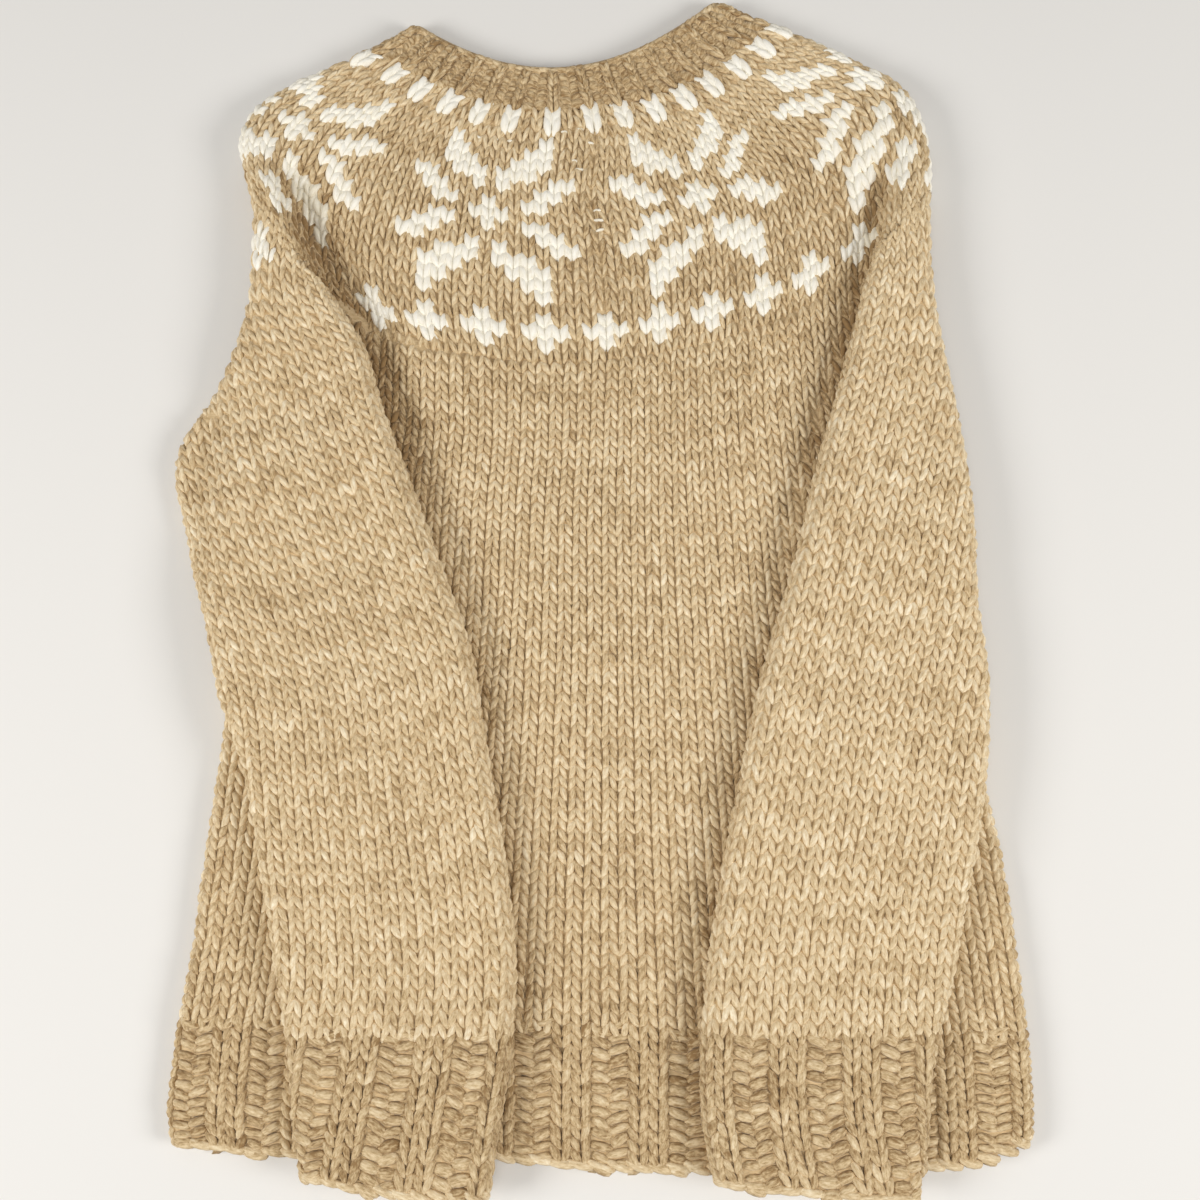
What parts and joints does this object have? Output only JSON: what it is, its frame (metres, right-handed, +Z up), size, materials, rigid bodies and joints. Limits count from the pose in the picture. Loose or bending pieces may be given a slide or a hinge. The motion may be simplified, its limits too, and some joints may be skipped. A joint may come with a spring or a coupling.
{
  "type": "fair isle sweater",
  "caption": "Chunky knitted pullover in heathered camel wool, with a round yoke of cream stars, crosses and dashes, lying flat with its sleeves folded down.",
  "frame": {"origin": "on the surface that the sweater lies on, under the middle of its bounding box", "axes": "+Z up off the surface, +Y from the hem to the neck, +X across it, to the right as it is seen from above with the neck away"},
  "size_m": [0.464, 0.671, 0.0253],
  "materials": {
    "camel_wool": "matte knitted wool, heathered, with a faint nap",
    "camel_rib": "matte ribbed wool, heathered, with a faint nap",
    "yoke_wool": "matte stranded wool, camel with cream motifs"
  },
  "bodies": {
    "root": {"body": "camel_wool", "hem_rib": "camel_rib", "yoke": "yoke_wool", "neckband": "camel_rib", "sleeve_left": "camel_wool", "sleeve_right": "camel_wool", "cuff_left": "camel_rib", "cuff_right": "camel_rib"}
  },
  "joints": []
}
